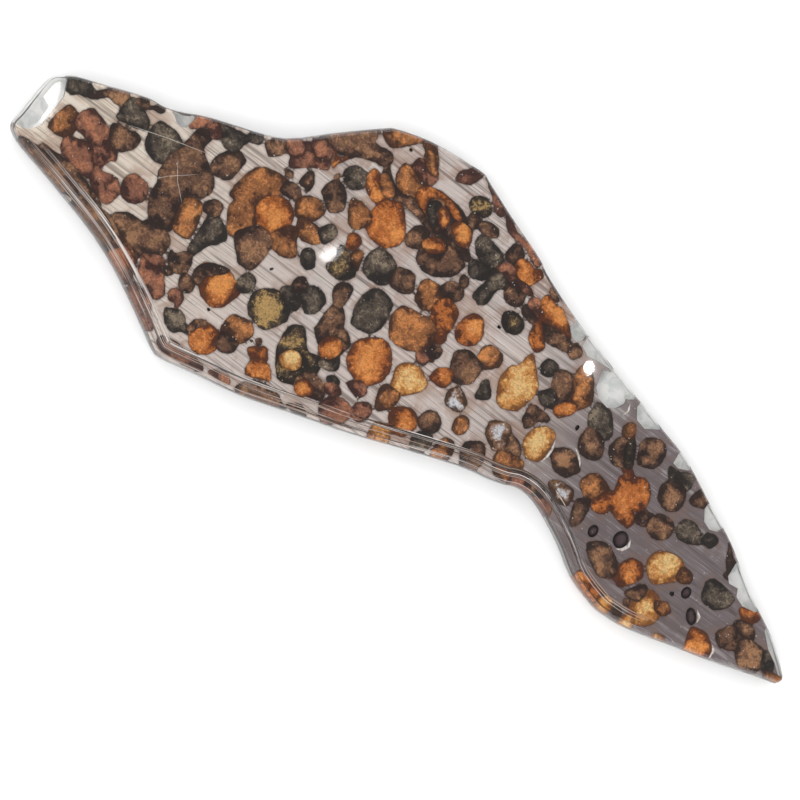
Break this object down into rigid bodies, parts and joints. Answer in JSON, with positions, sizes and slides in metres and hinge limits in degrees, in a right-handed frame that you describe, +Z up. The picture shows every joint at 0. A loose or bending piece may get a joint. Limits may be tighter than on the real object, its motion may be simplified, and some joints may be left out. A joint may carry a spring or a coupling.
{
  "type": "pallasite meteorite slice",
  "caption": "Thin slab of stony-iron meteorite with amber to dark olivine crystals in polished metal, sealed in clear resin, for display or study",
  "frame": {"origin": "centre of the bounding box in X and Y, at the height of the underside", "axes": "+X along the longest side of the slice, +Y across it, +Z up out of the polished front face"},
  "size_m": [0.1484, 0.0528, 0.0046],
  "materials": {
    "resin": "gloss",
    "metal": "satin",
    "olivine_charcoal": "gloss",
    "olivine_umber": "gloss",
    "olivine_russet": "gloss",
    "olivine_sienna": "gloss",
    "olivine_amber": "gloss",
    "olivine_honey": "gloss",
    "olivine_olive": "gloss",
    "olivine_fogged": "gloss"
  },
  "bodies": {
    "root": {"resin_front": "resin", "resin_back": "resin", "iron_nickel_matrix": "metal", "olivine_left_end": "olivine_sienna", "olivine_round_russet": "olivine_russet", "olivine_left_shoulder": "olivine_charcoal", "olivine_dark_mass": "olivine_charcoal", "olivine_plum_edge": "olivine_umber", "olivine_amber_block": "olivine_amber", "olivine_grey_round": "olivine_charcoal", "olivine_grey_diamond": "olivine_umber", "olivine_flower": "olivine_sienna", "olivine_amber_heart": "olivine_amber", "olivine_olive_round": "olivine_olive", "olivine_grey_wedge": "olivine_charcoal", "olivine_lower_amber": "olivine_charcoal", "olivine_rim_russet": "olivine_russet", "olivine_amber_pair": "olivine_amber", "olivine_big_gold_dark": "olivine_olive", "olivine_gold_oval": "olivine_amber", "olivine_gold_lower_middle": "olivine_honey", "olivine_lower_bank": "olivine_sienna", "olivine_rim_plum": "olivine_russet", "olivine_fawn_cluster": "olivine_sienna", "olivine_moss_pair": "olivine_charcoal", "olivine_middle_russet": "olivine_sienna", "olivine_moss_oval": "olivine_charcoal", "olivine_crest_lens": "olivine_sienna", "olivine_crest_cluster": "olivine_sienna", "olivine_glitter_lens": "olivine_umber", "olivine_crest_round": "olivine_olive", "olivine_crest_tip": "olivine_russet", "olivine_forest_mass": "olivine_charcoal", "olivine_crest_amber": "olivine_umber", "olivine_sienna_ridge": "olivine_umber", "olivine_olive_ring": "olivine_olive", "olivine_gold_bottle": "olivine_honey", "olivine_dusky_row": "olivine_charcoal", "olivine_umber_tooth": "olivine_umber", "olivine_gold_tear": "olivine_honey", "olivine_amber_egg": "olivine_amber", "olivine_smoky_group": "olivine_sienna", "olivine_dark_drop": "olivine_charcoal", "olivine_fogged_left": "olivine_fogged", "olivine_dark_tooth": "olivine_umber", "olivine_fogged_cluster": "olivine_fogged", "olivine_opal_eye": "olivine_umber", "olivine_fogged_right": "olivine_fogged", "olivine_amber_fork": "olivine_sienna", "olivine_dark_leaf": "olivine_charcoal", "olivine_amber_drum": "olivine_umber", "olivine_amber_target": "olivine_umber", "olivine_moss_disc": "olivine_charcoal", "olivine_edge_lens": "olivine_umber", "olivine_gold_cushion": "olivine_honey", "olivine_forest_disc": "olivine_charcoal", "olivine_tip_cluster": "olivine_amber", "olivine_amber_wedge": "olivine_amber", "olivine_gold_sheaf": "olivine_honey", "olivine_amber_bean": "olivine_amber"}
  },
  "joints": []
}
